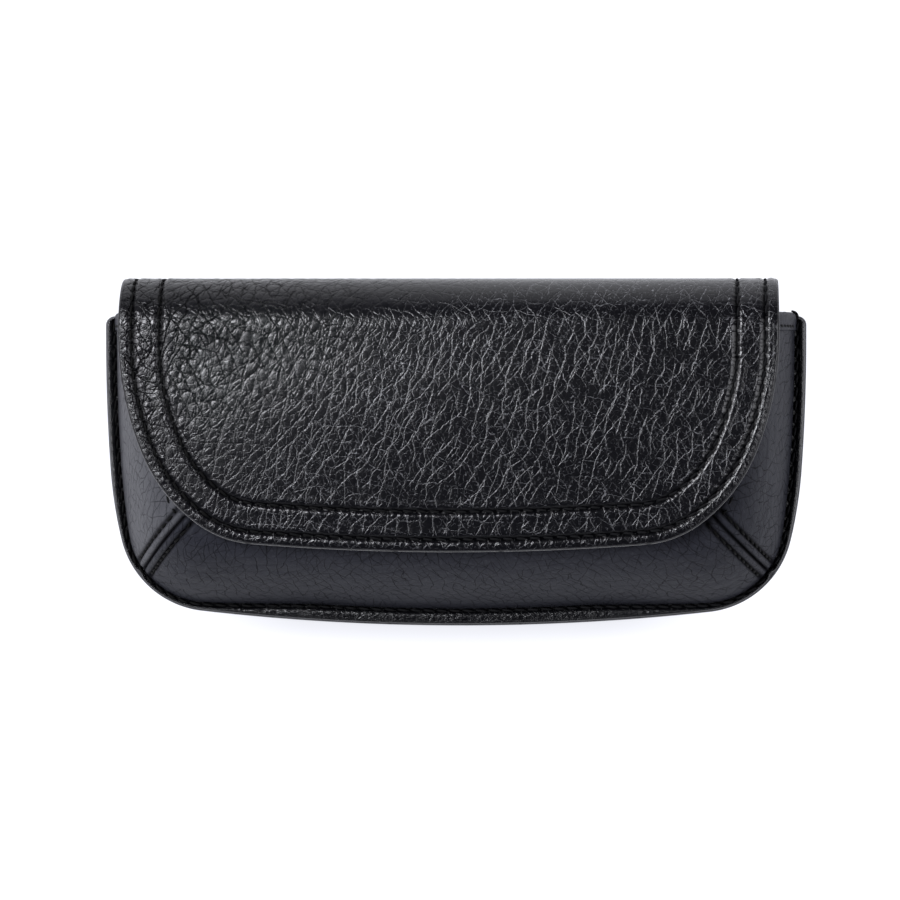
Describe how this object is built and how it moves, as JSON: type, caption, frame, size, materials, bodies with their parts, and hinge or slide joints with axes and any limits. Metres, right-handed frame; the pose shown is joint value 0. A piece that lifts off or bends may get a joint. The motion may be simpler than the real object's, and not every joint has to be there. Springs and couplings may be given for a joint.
{
  "type": "flap-over spectacle case",
  "caption": "Hard black leather spectacle case with a boxed front, a sewn rim and a stitched flap that folds over the mouth and closes by magnets.",
  "frame": {"origin": "centre of the bounding box in X and Y, on the ground plane that the back lies on", "axes": "+X along the width, +Y from the bottom rim towards the mouth, +Z out of the back towards the flap"},
  "size_m": [0.171, 0.085, 0.0388],
  "materials": {
    "black_leather": "pebbled, semi-gloss",
    "black_suede": "napped microfibre",
    "grey_board": "bare pressed board",
    "nickel_steel": "nickel plated",
    "black_thread": "bonded polyester"
  },
  "bodies": {
    "case_body": {"back_leather": "black_leather", "back_board": "grey_board", "back_lining": "black_suede", "front_panel": "black_leather", "left_gusset": "black_leather", "right_gusset": "black_leather", "front_shell": "grey_board", "front_lining": "black_suede", "mouth_binding": "black_leather", "rim_thread": "black_thread", "left_seam_thread_low": "black_thread", "left_seam_thread_high": "black_thread", "right_seam_thread_low": "black_thread", "right_seam_thread_high": "black_thread", "keeper_plate_left": "nickel_steel", "keeper_plate_right": "nickel_steel"},
    "top_strip": {"top_leather": "black_leather", "top_lining": "black_suede", "top_edge_thread_left": "black_thread", "top_edge_thread_right": "black_thread", "top_inner_thread_left": "black_thread", "top_inner_thread_right": "black_thread"},
    "flap": {"flap_leather": "black_leather", "flap_board": "grey_board", "flap_lining": "black_suede", "flap_edge_thread": "black_thread", "flap_inner_thread": "black_thread", "flap_magnet_left": "nickel_steel", "flap_magnet_right": "nickel_steel"}
  },
  "joints": [
    {"name": "back_fold", "type": "hinge", "parent": "case_body", "child": "top_strip", "pos_m": [0, 0.04, 0.00215], "axis": [-1, 0, 0], "range_deg": [0, 90]},
    {"name": "front_fold", "type": "hinge", "parent": "top_strip", "child": "flap", "pos_m": [0, 0.03957, 0.03542], "axis": [-1, 0, 0], "range_deg": [0, 90]}
  ]
}
